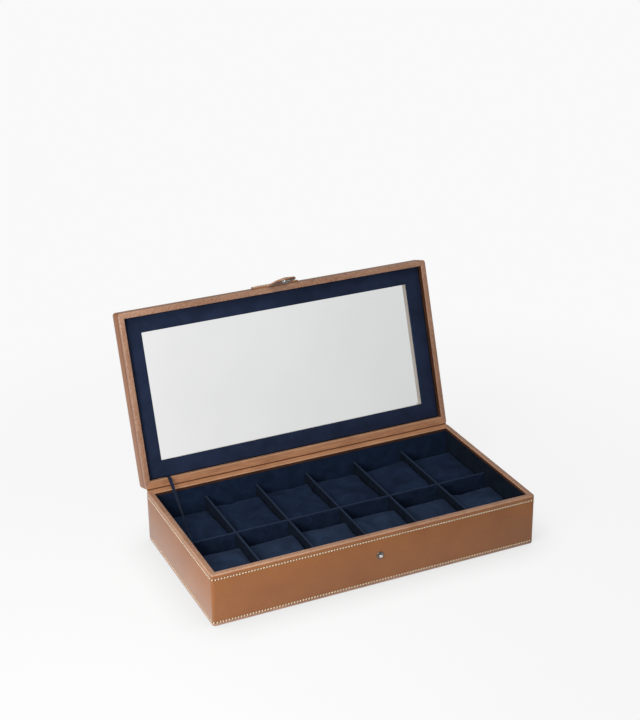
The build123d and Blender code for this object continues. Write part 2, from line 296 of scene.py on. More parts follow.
# Linings: navy faux suede glued over card, on the four walls and the floor. The nap is brushed
# this way and that, which gives soft patches about 15 mm across, and it glows a little at a low
# angle. The fibres are drawn 0.8 mm wide, coarser than they are, so that they show.
def suede(name, dark, light, patch=15, fold=None):
    """Navy faux suede, from its two tones and the size of its brushed patches in millimetres.

    Over a folded top edge, from 1.2 mm below it, the tone is painted lighter, a painted highlight.
    """
    made, tree = new_material(name)
    where = add(tree, "ShaderNodeTexCoord").outputs["Object"]
    patches = add(
        tree,
        "ShaderNodeTexNoise",
        {"Vector": where, "Scale": 1000 / patch, "Detail": 3, "Roughness": 0.55, "Distortion": 0.6},
    )
    fibres = add(tree, "ShaderNodeTexNoise", {"Vector": where, "Scale": 1000 / 0.8, "Detail": 2})
    blend = add(
        tree,
        "ShaderNodeMix",
        {0: 0.3, 2: patches.outputs["Fac"], 3: fibres.outputs["Fac"]},
        data_type="FLOAT",
    )
    spread = add(
        tree,
        "ShaderNodeMapRange",
        {"Value": blend.outputs[0], "From Min": 0.32, "From Max": 0.68},
    )
    tone = add(
        tree,
        "ShaderNodeMix",
        {0: spread.outputs[0], 6: linear(dark), 7: linear(light)},
        data_type="RGBA",
    )
    # Painted highlight: the folded top edge is mixed toward a lighter navy.
    if fold:
        height = add(tree, "ShaderNodeSeparateXYZ", {0: where}).outputs["Z"]
        painted_top_highlight = add(
            tree,
            "ShaderNodeMapRange",
            {"Value": height, "From Min": fold - 1.2 * mm, "From Max": fold},
        )
        tone = add(
            tree,
            "ShaderNodeMix",
            {0: painted_top_highlight.outputs[0], 6: tone.outputs[2], 7: linear("#242F41")},
            data_type="RGBA",
        )
    bump = add(
        tree,
        "ShaderNodeBump",
        {"Height": fibres.outputs["Fac"], "Strength": 0.35, "Distance": 0.15 * mm},
    )
    skin = add(
        tree,
        "ShaderNodeBsdfPrincipled",
        {
            "Base Color": tone.outputs[2],
            "Roughness": 0.95,
            "Specular IOR Level": 0.08,
            "Sheen Weight": 0.12,
            "Sheen Roughness": 0.45,
            "Sheen Tint": linear("#5C6E94"),
            "Normal": bump.outputs[0],
        },
    )
    add(tree, "ShaderNodeOutputMaterial", {"Surface": skin.outputs[0]})
    return made


wall_suede = suede("navy_suede_lining", "#142033", "#20304A")
# A darker copy of the lining suede, painted shade, for the left and right walls and the panel's
# border.
shaded_side_suede = suede("navy_suede_side_lining_painted_shade", "#090F18", "#121B27")
dress(["lining_front", "lining_back", "lining_floor"], wall_suede)
dress(["lining_left", "lining_right"], shaded_side_suede)


# Dividers: card folded in the same suede, so their top edges are round. Five cross dividers drop
# over the long one by half-depth slots, and stand on the floor lining.
def primitive(kind, name, **how):
    """Adds a primitive by itself, makes its place its mesh's own, and opens it for editing."""
    bpy.ops.object.select_all(action="DESELECT")
    getattr(bpy.ops.mesh, f"primitive_{kind}_add")(**how)
    piece = bpy.context.object
    piece.name = piece.data.name = name
    bpy.ops.object.transform_apply(location=True, rotation=True, scale=True)
    bpy.ops.object.mode_set(mode="EDIT")
    return piece


def pick(kind, test):
    """Selects the faces, edges or corners of the open mesh that pass a test, and nothing else."""
    bpy.ops.mesh.select_mode(type={"faces": "FACE", "edges": "EDGE", "verts": "VERT"}[kind])
    bpy.ops.mesh.select_all(action="DESELECT")
    mesh = bpy.context.object.data
    form = bmesh.from_edit_mesh(mesh)
    for item in getattr(form, kind):
        item.select_set(bool(test(item)))
    form.select_flush_mode()
    bmesh.update_edit_mesh(mesh)


def middle(edge):
    """The middle of an edge."""
    return (edge.verts[0].co + edge.verts[1].co) / 2


def run(edge):
    """The step from one end of an edge to the other."""
    return edge.verts[1].co - edge.verts[0].co


def modify(piece, kind, **settings):
    """Adds a modifier to a closed piece and applies it."""
    made = piece.modifiers.new(kind.title(), kind)
    for name, value in settings.items():
        setattr(made, name, value)
    bpy.context.view_layer.objects.active = piece
    bpy.ops.object.modifier_apply(modifier=made.name)


def close(piece, finish, smooth=35):
    """Leaves edit mode with the finish on, shaded smooth up to an angle in degrees."""
    if piece.mode == "EDIT":
        bpy.ops.object.mode_set(mode="OBJECT")
    piece.data.materials.clear()
    piece.data.materials.append(finish)
    bpy.ops.object.select_all(action="DESELECT")
    piece.select_set(True)
    bpy.context.view_layer.objects.active = piece
    bpy.ops.object.shade_smooth_by_angle(angle=math.radians(smooth))


def settle(piece, body, slot, *nodes):
    """Puts a finished piece on its body, in place of CAD nodes."""
    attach(piece, body)
    if nodes:
        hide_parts(*nodes)


def repeat(piece, count, pitch):
    """Copies a closed piece along X, a pitch apart."""
    modify(
        piece,
        "ARRAY",
        count=count,
        use_relative_offset=False,
        use_constant_offset=True,
        constant_offset_displace=(pitch, 0, 0),
    )


divider_low, divider_top = 6 * mm, 44 * mm
divider_height = divider_top - divider_low
divider_middle = (divider_top + divider_low) / 2
divider_thick = 3 * mm
divider_roll = 1.3 * mm
divider_pitch = 380 / 6 * mm
cross_length, cross_middle = 186.6 * mm, -1.5 * mm
long_length = 376.6 * mm
slot_width, slot_past = 3.1 * mm, 1 * mm
divider_suede = suede("navy_suede_divider", "#131E31", "#222F48", patch=9, fold=divider_top)
# The cross dividers take a darker copy of the divider suede, painted shade on their sides.
shaded_cross_suede = suede("navy_suede_cross_divider_painted_shade", "#060B13", "#0F1824", patch=9, fold=divider_top)


def divider(name, size, centre):
    """One wrapped card, its top edges rolled."""
    made = primitive("cube", name, size=1, location=centre, scale=size)
    thin = 0 if size[0] < size[1] else 1
    pick("edges", lambda e: middle(e).z > divider_top - 1e-5 and abs(run(e)[thin]) < 1e-6)
    bpy.ops.mesh.bevel(offset=divider_roll, segments=4, affect="EDGES")
    bpy.ops.object.mode_set(mode="OBJECT")
    return made


def slot_block(x, z, size_x, size_y):
    """A block of the size of one half-depth slot, and a little past its open end."""
    size = (size_x, size_y, divider_height / 2 + 2 * slot_past)
    made = primitive("cube", "slot_block", size=1, location=(x, 0, z), scale=size)
    bpy.ops.object.mode_set(mode="OBJECT")
    return made


def cut_slots(card, blocks):
    """Takes slots out of a card."""
    modify(card, "BOOLEAN", object=blocks, operation="DIFFERENCE")
    bpy.data.objects.remove(blocks)


cross_slot_z = divider_low + divider_height / 4 - slot_past
for number in range(1, 6):
    x = (number - 3) * divider_pitch
    size = (divider_thick, cross_length, divider_height)
    cross = divider(f"cross_divider_card_{number}", size, (x, cross_middle, divider_middle))
    cut_slots(cross, slot_block(x, cross_slot_z, 2 * divider_thick, slot_width))
    close(cross, shaded_cross_suede)
    settle(cross, "base", "divider_suede", f"cross_divider_{number}")

long_slot_z = divider_top - divider_height / 4 + slot_past
size = (long_length, divider_thick, divider_height)
long_card = divider("long_divider_card", size, (0, 0, divider_middle))
long_slots = slot_block(-2 * divider_pitch, long_slot_z, slot_width, 2 * divider_thick)
repeat(long_slots, 5, divider_pitch)
cut_slots(long_card, long_slots)
close(long_card, divider_suede)
settle(long_card, "base", "divider_suede", "long_divider")


# Cushions: foam in navy suede, one loose in each place. The cover is a band sewn round two flat
# ends, so the top is crowned and rolls down to the front and the back. No two look the same, and
# the back row is painted darker, as shade under the open lid.
cushion_tones = {
    "back": suede("navy_suede_cushion_back_painted_shade", "#0E1829", "#1D2B43", patch=22),
    "front": suede("navy_suede_cushion_front", "#172233", "#27354C", patch=22),
}
cushion_size = (57.2 * mm, 80.8 * mm, 28.6 * mm)
cushion_middle = 21.2 * mm
cushion_rows = {"back": 46.75 * mm, "front": -52.5 * mm}
cushion_round = 13 * mm
cushion_lump = 0.35 * mm
cushion_most = 1.5 * mm
cushion_steps = 20
cushion_slopes = {
    "back": ((5, -1), (1, 0), (-1, 1), (1, -1), (0, 5), (2, 1)),
    "front": ((-1, -1), (1, 1), (0, -1), (-2, 0), (1, 1), (-1, -1)),
}


def cushion(name, x, y, slope, finish, seed):
    """One pillow: a block with a sloping top and a rolled section, then blown up as cloth.

    A point moves by cushion_most at the furthest.
    """
    made = primitive("cube", name, size=1, location=(x, y, cushion_middle), scale=cushion_size)
    pick("verts", lambda v: v.co.z > cushion_middle)
    top = (x, y, cushion_middle + cushion_size[2] / 2)
    for axis, degrees in zip("XY", slope):
        bpy.ops.transform.rotate(value=math.radians(degrees), orient_axis=axis, center_override=top)
    pick("edges", lambda e: abs(run(e).x) > 20 * mm)
    bpy.ops.mesh.bevel(offset=cushion_round, segments=5, affect="EDGES", profile=0.5)
    bpy.ops.object.mode_set(mode="OBJECT")
    modify(made, "REMESH", mode="VOXEL", voxel_size=3.4 * mm)
    rest = [v.co.copy() for v in made.data.vertices]
    rnd = random.Random(seed)
    shift = Vector((rnd.uniform(-9, 9), rnd.uniform(-9, 9), rnd.uniform(-9, 9)))
    for v in made.data.vertices:
        v.co += cushion_lump * noise.noise_vector(v.co * 90 + shift)
    cloth = made.modifiers.new("Cloth", "CLOTH")
    cloth.settings.quality = 4
    cloth.settings.mass = 0.15
    cloth.settings.tension_stiffness = 12
    cloth.settings.compression_stiffness = 12
    cloth.settings.shear_stiffness = 6
    cloth.settings.bending_stiffness = 0.2
    cloth.settings.shrink_min = -0.04
    cloth.settings.use_pressure = True
    cloth.settings.uniform_pressure_force = 4
    cloth.settings.effector_weights.gravity = 0
    cloth.collision_settings.use_collision = False
    cloth.point_cache.frame_start = 1
    cloth.point_cache.frame_end = cushion_steps
    for step in range(1, cushion_steps + 1):
        scene.frame_set(step)
    bpy.context.view_layer.objects.active = made
    bpy.ops.object.modifier_apply(modifier=cloth.name)
    scene.frame_set(1)
    for v, was in zip(made.data.vertices, rest):
        moved = v.co - was
        if moved.length > cushion_most:
            v.co = was + moved * (cushion_most / moved.length)
    modify(made, "SUBSURF", levels=1, render_levels=1)
    close(made, finish, smooth=60)
    return made


for row, y in cushion_rows.items():
    for number, slope in enumerate(cushion_slopes[row], 1):
        name = f"cushion_{row}_{number}"
        x = (number - 3.5) * divider_pitch
        pad = cushion(f"pillow_{row}_{number}", x, y, slope, cushion_tones[row], f"{row}{number}")
        settle(pad, name, "cushion_suede", name)


# Outer leather of the base: one band of tan calf round the front and sides, glued to the boards,
# turned over the rim and 4 mm down inside, and under the bottom edge. It rolls over its edges and
# is drawn in along both lines of stitching. The rear wall belongs to the spine.
def leather(name, deep, warm, streak=(1, 1, 1), rough=0.4, clear_grain=0.25):
    """Smooth waxed calf: dye in clouds 45 mm across, creases drawn 2.4 mm and pores 1.2 mm wide.

    A streak below 1 draws the creases and pores out along that axis.
    """
    made, tree = new_material(name)
    where = add(tree, "ShaderNodeTexCoord").outputs["Object"]
    cloud = add(
        tree,
        "ShaderNodeTexNoise",
        {"Vector": where, "Scale": 1000 / 45, "Detail": 4, "Roughness": 0.6},
    )
    drawn = add(tree, "ShaderNodeVectorMath", {0: where, 1: streak}, operation="MULTIPLY")
    grain = add(
        tree,
        "ShaderNodeTexNoise",
        {"Vector": drawn.outputs[0], "Scale": 1000 / 2.4, "Detail": 5, "Roughness": 0.65},
    )
    pores = add(tree, "ShaderNodeTexVoronoi", {"Vector": drawn.outputs[0], "Scale": 1000 / 1.2})
    mixed = add(
        tree,
        "ShaderNodeMix",
        {0: clear_grain, 2: cloud.outputs["Fac"], 3: grain.outputs["Fac"]},
        data_type="FLOAT",
    )
    spread = add(
        tree,
        "ShaderNodeMapRange",
        {"Value": mixed.outputs[0], "From Min": 0.3, "From Max": 0.7},
    )
    tone = add(
        tree,
        "ShaderNodeMix",
        {0: spread.outputs[0], 6: linear(deep), 7: linear(warm)},
        data_type="RGBA",
    )
    fine = add(
        tree,
        "ShaderNodeBump",
        {"Height": pores.outputs["Distance"], "Strength": 0.1, "Distance": 0.1 * mm},
    )
    bump = add(
        tree,
        "ShaderNodeBump",
        {
            "Height": grain.outputs["Fac"],
            "Strength": 0.14,
            "Distance": 0.15 * mm,
            "Normal": fine.outputs[0],
        },
    )
    skin = add(
        tree,
        "ShaderNodeBsdfPrincipled",
        {
            "Base Color": tone.outputs[2],
            "Roughness": rough,
            "IOR": 1.42,
            "Coat Weight": 0.5,
            "Coat Roughness": 0.25,
            "Sheen Weight": 0.12,
            "Sheen Roughness": 0.3,
            "Normal": bump.outputs[0],
        },
    )
    add(tree, "ShaderNodeOutputMaterial", {"Surface": skin.outputs[0]})
    return made


def trim(piece, finish, test):
    """Gives the faces of a closed piece that pass a test another finish."""
    piece.data.materials.append(finish)
    for face in piece.data.polygons:
        if test(face.center):
            face.material_index = len(piece.data.materials) - 1


calf = leather("tan_calf", "#874C18", "#995C21")
# A lighter copy of the calf, painted highlight, for the rims' tops and the rolled foot.
highlit_calf = leather("tan_calf_painted_highlight", "#7C5238", "#C0967C", clear_grain=0.65)
# A lighter copy of the calf, painted highlight along rounded edges.
edge_highlight_calf = leather("tan_calf_painted_edge_highlight", "#A97C5C", "#C69A7A")
# A dark copy of the calf, painted shade on inner walls and undersides.
shaded_calf = leather("tan_calf_painted_shade", "#3E2212", "#5A351D")
# A darker copy of the calf, painted shade in the stitch grooves and the hinge crease.
groove_shade_calf = leather("tan_calf_painted_groove_shade", "#553014", "#653C1B")
# A near-white copy of the calf, painted light on the window's return.
lit_return_calf = leather("calf_window_return_painted_light", "#E6D4C4", "#F4E8DC")
half_width, half_depth = 195 * mm, 101.5 * mm
base_top, base_foot = 62 * mm, 0.4 * mm
corner = 3.5 * mm
inner_x, inner_front, inner_back = 188.5 * mm, -95 * mm, 92 * mm
inner_corner = 0.8 * mm
wall_x, wall_y = 190 * mm, 98 * mm
rear_edge = 100.3 * mm
rear_part, mitre_start, rear_wall = 80 * mm, 88 * mm, 90 * mm
mitre_overlap, mitre_run = 0.1 * mm, Vector((-8.3, 5.2, 0))
strip_middle = 150 * mm
turn_in, turn_under = 4 * mm, 1.2 * mm
hide_thick = 1.0 * mm
outer_roll, inner_roll, foot_roll = 1.4 * mm, 0.8 * mm, 0.9 * mm
rim_high, edge_high = 1.2 * mm, 0.75 * mm
edge_inside, edge_outside = 0.6 * mm, 1.3 * mm
stitch_inset = 5.3 * mm
upper_row, lower_row = base_top - 5.8 * mm, base_foot + 4.0 * mm
stitch_rows = (upper_row, lower_row)
groove_half = 0.9 * mm
groove_deep = 0.3 * mm


def shell(name, low, high, radius):
    """An upright wall with round corners and neither top nor bottom, open for editing."""
    centre = (Vector(low) + Vector(high)) / 2
    made = primitive("cube", name, size=1, location=centre, scale=Vector(high) - Vector(low))
    pick("faces", lambda f: abs(f.normal.z) > 0.9)
    bpy.ops.mesh.delete(type="ONLY_FACE")
    pick("edges", lambda e: abs(run(e).z) > 0.98 * run(e).length)
    bpy.ops.mesh.bevel(offset=radius, segments=5, affect="EDGES")
    return made


def score(point, toward):
    """Cuts new edges all round the open mesh where a plane meets it."""
    bpy.ops.mesh.select_all(action="SELECT")
    bpy.ops.mesh.bisect(plane_co=point, plane_no=toward)


def draw_in(levels, low, high):
    """Cuts an open wall level along lines of stitching and draws it in there."""
    centre = (Vector(low) + Vector(high)) / 2
    size = Vector(high) - Vector(low)
    narrow = [1 - 2 * groove_deep / size.x, 1 - 2 * groove_deep / size.y, 1]
    for level in levels:
        for beside in (-groove_half, groove_half, 0):
            score((0, 0, level + beside), (0, 0, 1))
        bpy.ops.transform.resize(value=narrow, center_override=centre)


def joined(first, *others):
    """Joins closed pieces into the first and opens it."""
    bpy.ops.object.mode_set(mode="OBJECT")
    bpy.ops.object.select_all(action="DESELECT")
    for piece in (first, *others):
        piece.select_set(True)
    bpy.context.view_layer.objects.active = first
    bpy.ops.object.join()
    bpy.ops.object.mode_set(mode="EDIT")


def bridge(level, low, high):
    """Bridges the two open loops at a level, of which the inner one lies between two corners.

    The inner loop is moved off meanwhile, because loops in one plane are bridged crosswise.
    """

    def inner(point):
        return all(low[i] - 1e-6 < point[i] < high[i] + 1e-6 for i in (0, 1))

    aside = 20 * mm
    pick("verts", lambda v: abs(v.co.z - level) < 1e-6 and inner(v.co))
    bpy.ops.transform.translate(value=(0, 0, aside))
    pick(
        "edges",
        lambda e: e.is_boundary
        and abs(middle(e).z - level - (aside if inner(middle(e)) else 0)) < 1e-6,
    )
    bpy.ops.mesh.bridge_edge_loops()
    pick("verts", lambda v: abs(v.co.z - level - aside) < 1e-6 and inner(v.co))
    bpy.ops.transform.translate(value=(0, 0, -aside))


def face_outward():
    """Turns all faces of the open mesh outward."""
    bpy.ops.mesh.select_all(action="SELECT")
    bpy.ops.mesh.normals_make_consistent(inside=False)


def round_off(test, radius, segments=4):
    """Rounds the sharp edges whose middles pass a test."""
    pick(
        "edges",
        lambda e: len(e.link_faces) == 2 and e.calc_face_angle() > 0.8 and test(middle(e)),
    )
    bpy.ops.mesh.bevel(offset=radius, segments=segments, affect="EDGES")


def clear(test, point, toward):
    """Cuts the faces that pass a test by a plane and takes away what lies beyond it."""
    pick("faces", lambda f: test(f.calc_center_median()))
    bpy.ops.mesh.bisect(plane_co=point, plane_no=Vector(toward).normalized(), clear_outer=True)


def mitre(test, y):
    """Cuts the side rims slantwise at both rear corners, where the hinge strip meets them."""
    for side in (-1, 1):
        slant = Vector((side * mitre_run.x, mitre_run.y, 0))
        point = (side * (inner_x - mitre_overlap), y, 0)
        clear(lambda m: test(m) and side * m.x > 0, point, slant)


def leave_out(test):
    """Deletes the faces whose middles pass a test."""
    pick("faces", lambda f: test(f.calc_center_median()))
    bpy.ops.mesh.delete(type="FACE")


def thicken(piece, thick=hide_thick):
    """Leaves edit mode and gives the skin its thickness behind its faces."""
    bpy.ops.object.mode_set(mode="OBJECT")
    modify(piece, "SOLIDIFY", thickness=thick, offset=-1, use_even_offset=True)


base_low = (-half_width, -half_depth, base_foot)
base_high = (half_width, half_depth, base_top)
band = shell("base_leather_band", base_low, base_high, corner)
draw_in(stitch_rows, base_low, base_high)
bpy.ops.object.mode_set(mode="OBJECT")
inside_low = (-inner_x, inner_front, base_top - turn_in)
inside_high = (inner_x, inner_back, base_top)
inside = shell("base_turn_in", inside_low, inside_high, inner_corner)
joined(band, inside)
bridge(base_top, inside_low, inside_high)
pick("edges", lambda e: e.is_boundary and abs(middle(e).z - base_foot) < 1e-6)
bpy.ops.mesh.extrude_region_move()
under = (1 - turn_under / half_width, 1 - turn_under / half_depth, 1)
bpy.ops.transform.resize(value=under, center_override=(0, 0, 0))
face_outward()
round_off(lambda m: m.z < base_foot + 1e-6, foot_roll, 3)
round_off(
    lambda m: m.z > base_top - 1e-6 and (abs(m.x) > wall_x or abs(m.y) > wall_y), outer_roll
)
round_off(lambda m: m.z > base_top - 1e-6, inner_roll, 3)
clear(lambda m: m.y > rear_part, (0, rear_edge, 0), (0, 1, 0))
score((0, mitre_start, 0), (0, 1, 0))
mitre(lambda m: m.y > mitre_start, inner_back)
leave_out(lambda m: m.y > rear_wall and abs(m.x) < strip_middle)
thicken(band)
close(band, calf)


def on_edge(m):
    """Whether a point lies on either edge of the base's rim."""
    across = abs(m.x) < inner_x + edge_inside or abs(m.x) > half_width - edge_outside
    along = inner_front - edge_inside < m.y or m.y < -half_depth + edge_outside
    return m.z > base_top - edge_high and across and along


def inside_rim(m):
    """Whether a point lies on the leather that is turned in over the base's rim."""
    between = base_top - 3 * turn_in < m.z < base_top - edge_high
    return between and abs(m.x) < wall_x and m.y > inner_front - rim_high


# Painted highlight: the rim's top and the rolled band under the lower stitches are lighter.
trim(band, highlit_calf, lambda m: m.z > base_top - rim_high or m.z < lower_row - groove_half)
# Painted shade in the drawn-in grooves along the stitching.
trim(band, groove_shade_calf, lambda m: min(abs(m.z - row) for row in stitch_rows) < groove_half)
# Painted highlight along both edges of the base's rim.
trim(band, edge_highlight_calf, on_edge)
# Painted shade on the leather turned in over the base's rim.
trim(band, shaded_calf, inside_rim)
settle(band, "base", "outer_leather", "base_leather")


# Outer leather of the lid: the same calf over the lid's frame, creased once round its sides. At
# the rim it turns 7.5 mm up to the inner panel, and on top it turns down into the window, where
# it is painted near white, as painted light on the return. It is drawn shut, hinge line at the
# origin, and then swung open.
hinge_line = Vector((0, 101, 62.4)) * mm
lid_open = Matrix.Translation(hinge_line) @ Matrix.Rotation(math.radians(-108), 4, "X")
lid_low_y, lid_high_y = -203.5 * mm, 0.5 * mm
lid_rim, lid_top = 0.4 * mm, 23.9 * mm
lid_inner_front, lid_inner_back = -196.7 * mm, -9 * mm
lid_rear_edge = -0.7 * mm
lid_rear_part, lid_mitre_start, lid_rear_wall = -20 * mm, -13 * mm, -11 * mm
lid_rim_rear = -3 * mm
lid_crease = lid_rim + stitch_inset
spine_top = 22.7 * mm
panel_level, above_turn_in = 7.9 * mm, 8.5 * mm
window_x, window_front, window_back = 170.8 * mm, -179 * mm, -26.7 * mm
window_foot, window_corner, window_roll = 14 * mm, 4 * mm, 1.1 * mm


def swing_open(piece, frame=lid_open):
    """Puts a piece that was drawn in a frame of its own where that frame stands."""
    if piece.mode == "EDIT":
        bpy.ops.object.mode_set(mode="OBJECT")
    bpy.ops.object.select_all(action="DESELECT")
    piece.select_set(True)
    bpy.context.view_layer.objects.active = piece
    piece.matrix_world = frame
    bpy.ops.object.transform_apply(location=True, rotation=True, scale=True)


lid_low = (-half_width, lid_low_y, lid_rim)
lid_high = (half_width, lid_high_y, lid_top)
cover = shell("lid_leather_cover", lid_low, lid_high, corner)
draw_in([lid_crease], lid_low, lid_high)
score((0, 0, spine_top), (0, 0, 1))
bpy.ops.object.mode_set(mode="OBJECT")
window_low = (-window_x, window_front, window_foot)
window_high = (window_x, window_back, lid_top)
opening = shell("lid_window_return", window_low, window_high, window_corner)
bpy.ops.object.mode_set(mode="OBJECT")
inside_low = (-inner_x, lid_inner_front, lid_rim)
inside_high = (inner_x, lid_inner_back, panel_level)
inside = shell("lid_turn_in", inside_low, inside_high, inner_corner)
joined(cover, opening, inside)
bridge(lid_top, window_low, window_high)
bridge(lid_rim, inside_low, inside_high)
face_outward()
round_off(lambda m: m.z > lid_top - 1e-6, window_roll)
rim_front = lid_low_y + 3 * mm
round_off(
    lambda m: m.z < lid_rim + 1e-6
    and (abs(m.x) > wall_x or m.y < rim_front or m.y > lid_rim_rear),
    outer_roll,
)
round_off(lambda m: m.z < lid_rim + 1e-6, inner_roll, 3)
clear(lambda m: m.z < spine_top and m.y > lid_rear_part, (0, lid_rear_edge, 0), (0, 1, 0))
score((0, lid_mitre_start, 0), (0, 1, 0))
mitre(lambda m: m.y > lid_mitre_start and m.z < above_turn_in, lid_inner_back)
leave_out(lambda m: m.z < above_turn_in and m.y > lid_rear_wall and abs(m.x) < strip_middle)
thicken(cover)
swing_open(cover)
close(cover, calf)
shut = lid_open.inverted()


def in_lid(test):
    """Tests a point of the open lid by its place in the shut one."""
    return lambda m: test(shut @ m)


def on_turn_in(m):
    """Whether a point of the shut lid lies on the leather that is turned in to the panel."""
    between = lid_rim + edge_high < m.z < panel_level + rim_high
    return between and abs(m.x) < wall_x and m.y > lid_inner_front - 1.5 * mm


def on_window_return(m):
    """Whether a point of the shut lid lies on the leather that is turned down into the window."""
    across = abs(m.x) < window_x + rim_high
    return m.z > 12 * mm and across and window_front - rim_high < m.y < window_back + rim_high


# Painted highlight on the lid's rim face.
trim(cover, highlit_calf, in_lid(lambda m: m.z < lid_rim + rim_high))
# Painted shade in the lid's crease.
trim(cover, groove_shade_calf, in_lid(lambda m: abs(m.z - lid_crease) < groove_half))
# Painted shade on the lid's turn-in up to the panel.
trim(cover, shaded_calf, in_lid(on_turn_in))
# Painted light: the return into the window is near white.
trim(cover, lit_return_calf, in_lid(on_window_return))
settle(cover, "lid", "outer_leather", "lid_leather")


# Inner panel of the lid: card under navy suede, with the window cut in it. The suede is wrapped
# round the edge of the window and round its outer edge, so both are soft. It rests against the
# pane.
panel_suede = suede("navy_suede_panel", "#1B2437", "#27314A", patch=30)
panel_back = 10.9 * mm
panel_x, panel_front, panel_rear = 188.3 * mm, -196.5 * mm, -9.2 * mm
panel_corner, panel_roll, sight_roll = 0.6 * mm, 1.2 * mm, 0.9 * mm
panel_low = (-panel_x, panel_front, panel_level)
panel_high = (panel_x, panel_rear, panel_back)
panel = shell("lid_panel_card", panel_low, panel_high, panel_corner)
bpy.ops.object.mode_set(mode="OBJECT")
sight_low = (-169 * mm, -177.2 * mm, panel_level)
sight_high = (169 * mm, -28.5 * mm, panel_back)
sight = shell("panel_window", sight_low, sight_high, panel_corner)
joined(panel, sight)
bridge(panel_level, sight_low, sight_high)
bridge(panel_back, sight_low, sight_high)
face_outward()
in_front = panel_level + 0.1 * mm


def at_sight(m):
    """Whether a point of the shut lid lies at the edge of the panel's window."""
    return all(sight_low[i] - 1 * mm < m[i] < sight_high[i] + 1 * mm for i in (0, 1))


def at_border(m):
    """Whether a point of the shut lid lies within 1.1 mm of the panel's outer edge."""
    inset = min(panel_x - abs(m.x), m.y - panel_front, panel_rear - m.y)
    return inset < 1.1 * mm


round_off(lambda m: m.z < in_front and at_sight(m), sight_roll, 3)
round_off(lambda m: m.z < in_front and not at_sight(m), panel_roll, 3)
swing_open(panel)
close(panel, panel_suede)
# Painted shade: the panel's border within 1.1 mm of its edge takes the darker suede.
trim(panel, shaded_side_suede, in_lid(at_border))
settle(panel, "lid", "panel_suede", "lid_inner_panel")


# Pane: clear float glass 3 mm thick with the faint green of its iron, held between the inner
# panel and the lid's top board. It greys what is seen through it a little, and more toward its
# right as painted shade.
glass, tree = new_material("clear_float_glass")
where = add(tree, "ShaderNodeTexCoord").outputs["Object"]
haze = add(tree, "ShaderNodeTexNoise", {"Vector": where, "Scale": 1000 / 60, "Detail": 2})
across = add(tree, "ShaderNodeSeparateXYZ", {0: where}).outputs["X"]
painted_shade_rightward = add(
    tree,
    "ShaderNodeMapRange",
    {
        "Value": across,
        "From Min": -170 * mm,
        "From Max": 170 * mm,
        "To Min": -0.15,
        "To Max": 0.85,
    },
)
haze_and_painted_shade = add(
    tree,
    "ShaderNodeMath",
    {0: haze.outputs["Fac"], 1: 0.3, 2: painted_shade_rightward.outputs[0]},
    operation="MULTIPLY_ADD",
)
tint = add(
    tree,
    "ShaderNodeMix",
    {0: haze_and_painted_shade.outputs[0], 6: linear("#FBFBFB"), 7: linear("#EFF0F0")},
    data_type="RGBA",
)
through = add(tree, "ShaderNodeBsdfTransparent", {"Color": tint.outputs[2]})
mirror = add(tree, "ShaderNodeBsdfGlossy", {"Color": linear("#FFFFFF"), "Roughness": 0.02})
slant = add(tree, "ShaderNodeLayerWeight", {"Blend": 0.5}).outputs["Facing"]
steep = add(tree, "ShaderNodeMath", {0: slant, 1: 5}, operation="POWER")
mirrored = add(
    tree, "ShaderNodeMath", {0: steep.outputs[0], 1: 0.96, 2: 0.04}, operation="MULTIPLY_ADD"
)
pane = add(
    tree,
    "ShaderNodeMixShader",
    {0: mirrored.outputs[0], 1: through.outputs[0], 2: mirror.outputs[0]},
)
add(tree, "ShaderNodeOutputMaterial", {"Surface": pane.outputs[0]})
dress(["glass_pane"], glass)


# Hinge strip: one strip of the same calf over both rear rims, round the hinge line and down both
# inner walls. It is stretched along its length, so its grain runs in streaks, and it is painted
# lighter than the box's calf, a painted highlight where it faces up. Its ends are mitred against
# the side rims, and it bends where box and lid meet.
highlit_strip_calf = leather("tan_calf_strip_painted_highlight", "#8F5F40", "#C69068", streak=(0.12, 1, 1), clear_grain=0.6)


def drawn(name, half, profile, facing):
    """A strip across X, its edge extruded along a profile in Y and Z, facing a direction."""
    y, z = profile[0]
    made = primitive("plane", name, size=2 * half, location=(0, y + half, z))
    pick("verts", lambda v: v.co.y > y + half)
    bpy.ops.mesh.delete(type="VERT")
    bpy.ops.mesh.select_all(action="SELECT")
    for before, after in zip(profile, profile[1:]):
        step = (0, after[0] - before[0], after[1] - before[1])
        bpy.ops.mesh.extrude_region_move(TRANSFORM_OT_translate={"value": step})
    bpy.ops.mesh.select_all(action="SELECT")
    form = bmesh.from_edit_mesh(made.data)
    form.faces.ensure_lookup_table()
    form.normal_update()
    if form.faces[0].normal.dot(Vector(facing)) < 0:
        bpy.ops.mesh.flip_normals()
    return made


def from_lid(y, level):
    """The Y and Z, with the lid open, of a point drawn in the shut lid."""
    point = lid_open @ Vector((0, y, level))
    return (point.y, point.z)


def fold(radius, steps, first=-90, last=-18):
    """An arc round the hinge line from below it to the open lid's side."""
    angles = [math.radians(first + (last - first) * i / steps) for i in range(steps + 1)]
    y, z = hinge_line.yz
    return [(y + radius * math.cos(a), z + radius * math.sin(a)) for a in angles]


